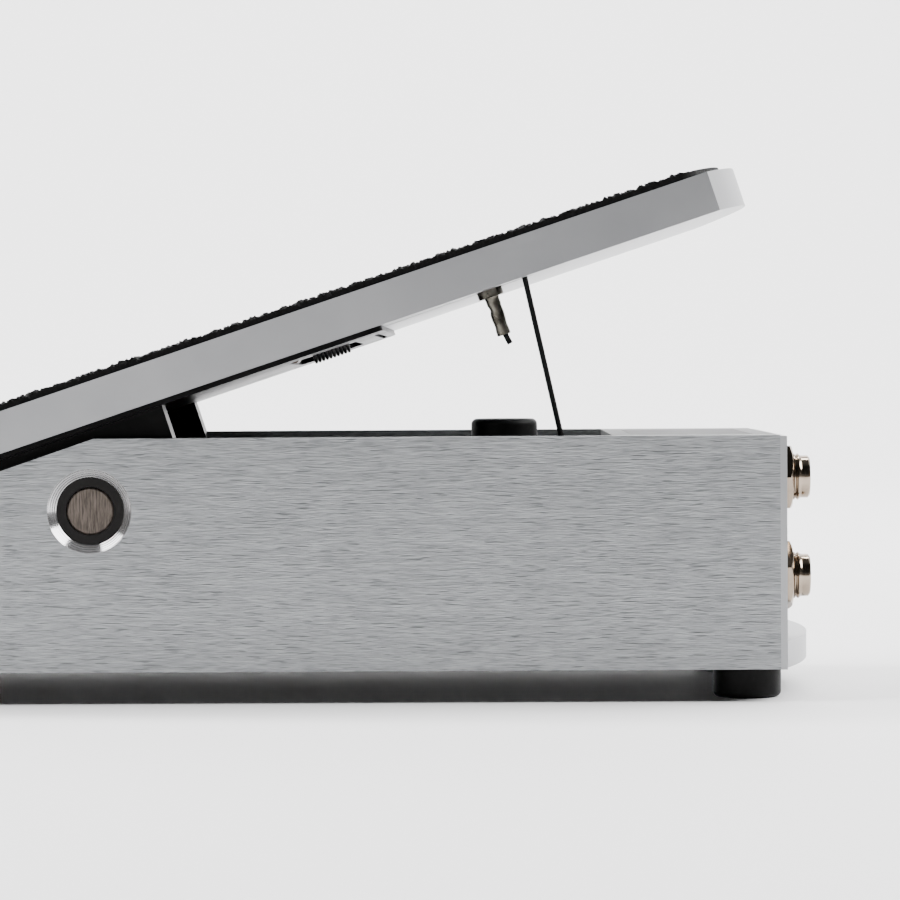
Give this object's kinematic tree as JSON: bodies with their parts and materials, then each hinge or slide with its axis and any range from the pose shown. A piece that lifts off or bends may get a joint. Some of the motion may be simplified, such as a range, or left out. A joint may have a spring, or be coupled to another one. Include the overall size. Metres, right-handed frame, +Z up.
{
  "type": "volume pedal",
  "caption": "Rocker volume pedal: tilting grip-topped treadle on an aluminium channel, with phone jacks in the toe end and a string-driven potentiometer inside.",
  "frame": {"origin": "on the floor under the middle of the pedal's bounding box, heel down", "axes": "+X towards the toe and the jacks, +Y across to the far side, +Z up"},
  "size_m": [0.2557, 0.089, 0.1078],
  "materials": {
    "brushed_panel": "brushed, clear anodised",
    "satin_aluminium": "fine satin, clear anodised",
    "black_coat": "gloss black powder coat",
    "black_screw": "black oxide",
    "rubber": "matte moulded rubber",
    "bezel": "glossy light grey",
    "display_glass": "smoked glass",
    "display": "black display module",
    "board": "green solder mask",
    "bushing": "black bearing plastic",
    "steel": "drawn and ground steel",
    "nickel": "polished nickel plate",
    "jack_plastic": "black moulded plastic",
    "grip": "coarse black grit",
    "string": "braided black cord",
    "brass": "turned brass"
  },
  "bodies": {
    "base": {"chassis": "brushed_panel", "toe_plate": "satin_aluminium", "heel_plate": "satin_aluminium", "deck_plate": "black_coat", "guide_bracket": "black_coat", "bezel_screws": "black_screw", "deck_screws": "black_screw", "heel_plate_screws": "black_screw", "pot_bracket_screws": "black_screw", "guide_screw": "black_screw", "foot_screws": "black_screw", "foot_heel_near": "rubber", "foot_heel_far": "rubber", "foot_toe_near": "rubber", "foot_toe_far": "rubber", "toe_bumper": "rubber", "heel_bumper": "rubber", "display_bezel": "bezel", "display_glass": "display_glass", "display_module": "display", "tuner_board": "board", "pivot_bushing_near": "bushing", "pivot_bushing_far": "bushing", "pot_case": "steel", "pot_bracket": "steel", "toe_plate_screws": "steel", "upper_jack_sleeve": "nickel", "lower_jack_sleeve": "nickel", "upper_jack_nut": "nickel", "lower_jack_nut": "nickel", "upper_jack_washer": "nickel", "lower_jack_washer": "nickel", "pot_nut": "nickel", "pot_washer": "nickel", "power_jack_nut": "nickel", "upper_jack_body": "jack_plastic", "lower_jack_body": "jack_plastic", "power_jack": "jack_plastic", "string_guide": "jack_plastic", "string": "string", "pot_bushing": "brass"},
    "treadle": {"footplate": "satin_aluminium", "grip_pad": "grip", "treadle_bracket": "black_coat", "pivot_shaft": "steel", "shaft_set_screws": "black_screw", "bracket_screws": "black_screw", "string_spring": "steel", "spring_pin": "steel", "string_eyelet": "jack_plastic", "string_ferrule": "nickel", "heel_anchor": "brass"},
    "pulley": {"string_pulley": "brass", "pot_spindle": "steel", "pulley_set_screw": "black_screw"}
  },
  "joints": [
    {"name": "treadle_pivot", "type": "hinge", "parent": "base", "child": "treadle", "pos_m": [-0.018, 0, 0.0385], "axis": [0, 1, 0], "range_deg": [0, 17.5], "deforming": ["string"]},
    {"name": "pulley_spin", "type": "hinge", "parent": "base", "child": "pulley", "pos_m": [0.0744, -0.035, 0.0291], "axis": [0, 1, 0], "range_deg": [0, 254.6]}
  ],
  "couplings": [
    {"joint": "pulley_spin", "follows": "treadle_pivot", "ratio": 14.52}
  ]
}
